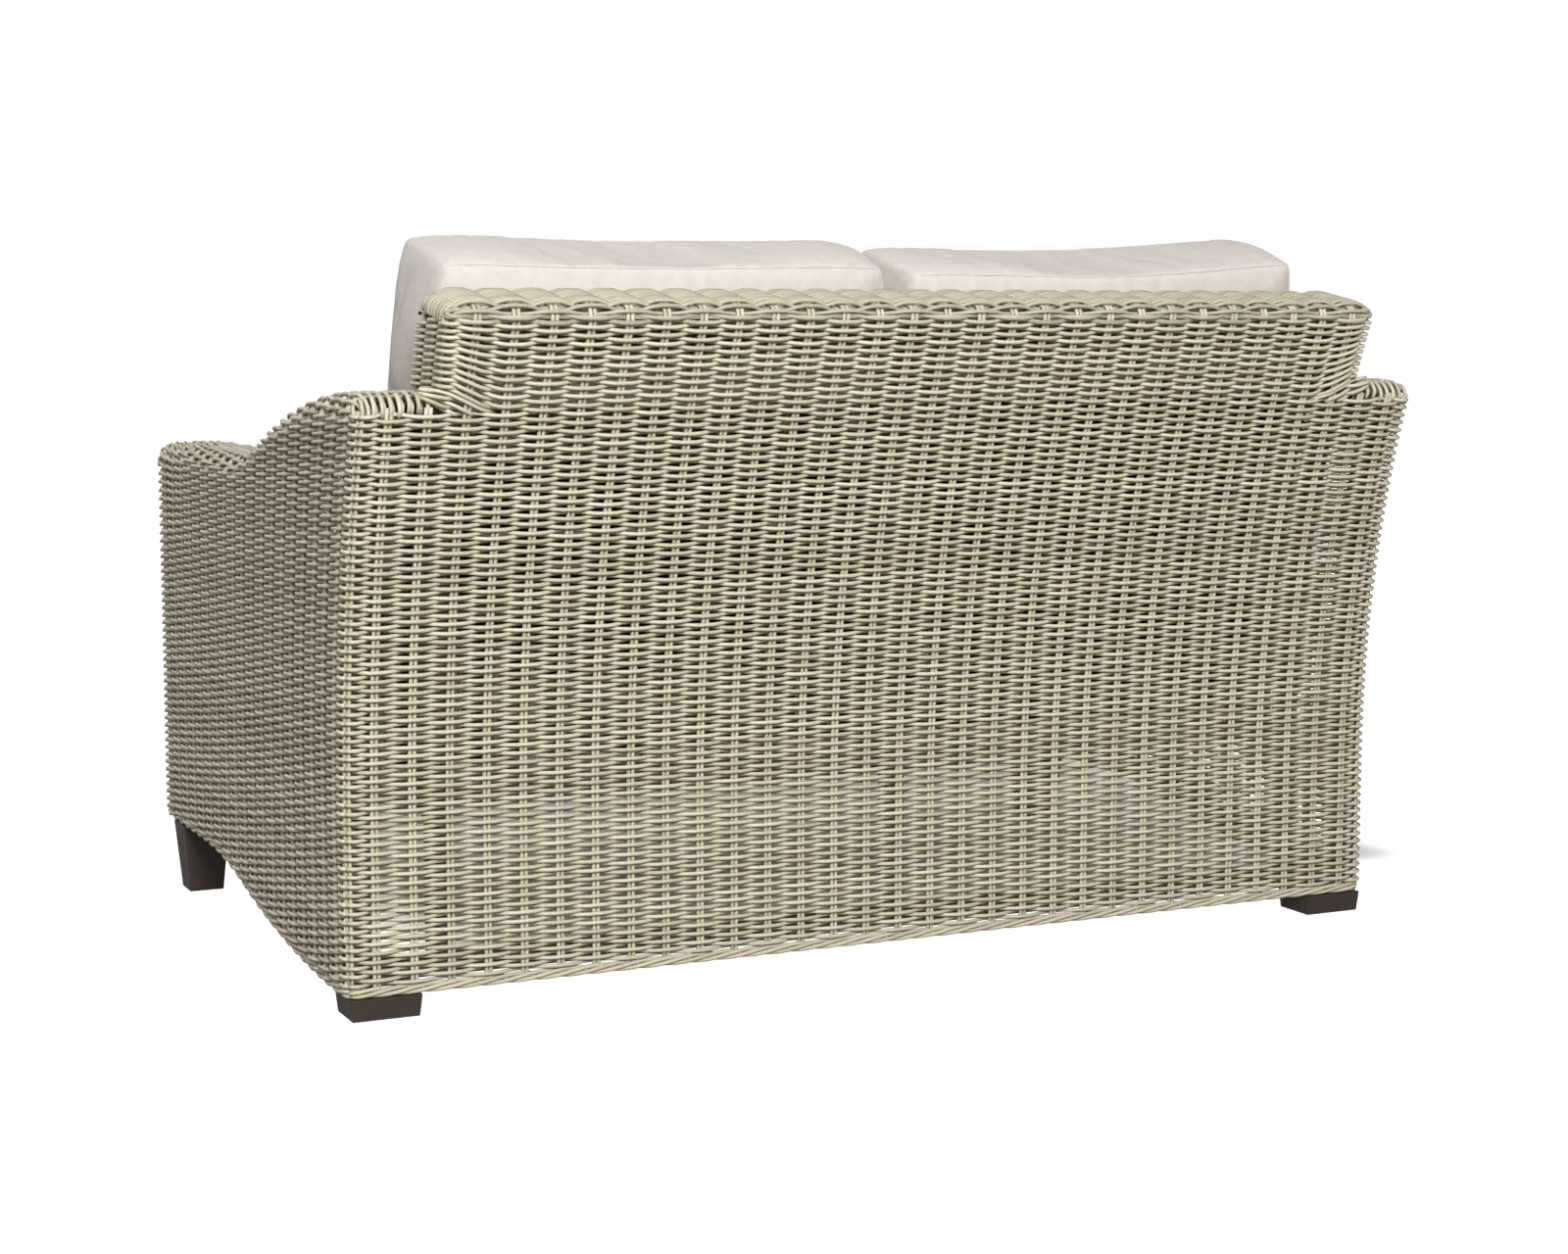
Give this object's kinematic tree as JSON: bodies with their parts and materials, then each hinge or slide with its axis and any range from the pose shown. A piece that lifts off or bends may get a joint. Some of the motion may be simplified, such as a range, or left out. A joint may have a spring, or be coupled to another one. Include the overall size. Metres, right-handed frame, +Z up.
{
  "type": "patio loveseat",
  "caption": "Woven resin loveseat with scrolled arms, a raked rolled back, loose seat and back cushions, and short tapered legs.",
  "frame": {"origin": "centre of the bounding box, on the floor under the feet", "axes": "+X to the sitter's left, across the seat; +Y from the front to the back; +Z up"},
  "size_m": [1.5, 1.079, 0.9386],
  "materials": {
    "resin_weave": "satin extruded resin strand, greige",
    "frame_tube": "dark powder coat",
    "leg_finish": "dark brown satin powder coat",
    "bolt_steel": "zinc plated",
    "glide_nylon": "black nylon",
    "cushion_fabric": "ivory canvas, plain weave",
    "cushion_core": "open-cell foam"
  },
  "bodies": {
    "root": {"back_inner_weave": "resin_weave", "back_rails": "frame_tube", "back_top_weave": "resin_weave", "foot_glides": "glide_nylon", "front_apron_weave": "resin_weave", "front_base_rail": "frame_tube", "front_border": "resin_weave", "front_left_leg": "leg_finish", "front_right_leg": "leg_finish", "front_seat_rail": "frame_tube", "left_arm_front_weave": "resin_weave", "left_arm_inner_weave": "resin_weave", "left_arm_outer_weave": "resin_weave", "left_arm_rail_inner": "frame_tube", "left_arm_rail_outer": "frame_tube", "left_arm_spreaders": "frame_tube", "left_arm_top_weave": "resin_weave", "left_back_end_weave": "resin_weave", "left_back_hoop": "frame_tube", "left_front_post_inner": "frame_tube", "left_front_post_outer": "frame_tube", "left_rear_post": "frame_tube", "left_seat_rail": "frame_tube", "left_side_base_rail": "frame_tube", "left_side_border": "resin_weave", "leg_bolts": "bolt_steel", "leg_plates": "frame_tube", "middle_back_hoop": "frame_tube", "rear_base_rail": "frame_tube", "rear_border": "resin_weave", "rear_left_leg": "leg_finish", "rear_lower_weave": "resin_weave", "rear_right_leg": "leg_finish", "rear_seat_rail": "frame_tube", "rear_upper_weave": "resin_weave", "right_arm_front_weave": "resin_weave", "right_arm_inner_weave": "resin_weave", "right_arm_outer_weave": "resin_weave", "right_arm_rail_inner": "frame_tube", "right_arm_rail_outer": "frame_tube", "right_arm_spreaders": "frame_tube", "right_arm_top_weave": "resin_weave", "right_back_end_weave": "resin_weave", "right_back_hoop": "frame_tube", "right_front_post_inner": "frame_tube", "right_front_post_outer": "frame_tube", "right_rear_post": "frame_tube", "right_seat_rail": "frame_tube", "right_side_base_rail": "frame_tube", "right_side_border": "resin_weave", "seat_cross_bars": "frame_tube", "seat_deck": "resin_weave"},
    "left_seat_cushion": {"left_seat_cushion_cover": "cushion_fabric", "left_seat_cushion_core": "cushion_core"},
    "left_back_cushion": {"left_back_cushion_cover": "cushion_fabric", "left_back_cushion_core": "cushion_core"},
    "right_seat_cushion": {"right_seat_cushion_cover": "cushion_fabric", "right_seat_cushion_core": "cushion_core"},
    "right_back_cushion": {"right_back_cushion_cover": "cushion_fabric", "right_back_cushion_core": "cushion_core"}
  },
  "joints": [
    {"name": "left_seat_cushion_pull", "type": "slide", "parent": "root", "child": "left_seat_cushion", "axis": [0, -1, 0], "range_m": [0, 0.15]},
    {"name": "left_back_cushion_lift", "type": "slide", "parent": "root", "child": "left_back_cushion", "axis": [0, 0, 1], "range_m": [0, 0.2]},
    {"name": "right_seat_cushion_pull", "type": "slide", "parent": "root", "child": "right_seat_cushion", "axis": [0, -1, 0], "range_m": [0, 0.15]},
    {"name": "right_back_cushion_lift", "type": "slide", "parent": "root", "child": "right_back_cushion", "axis": [0, 0, 1], "range_m": [0, 0.2]}
  ]
}
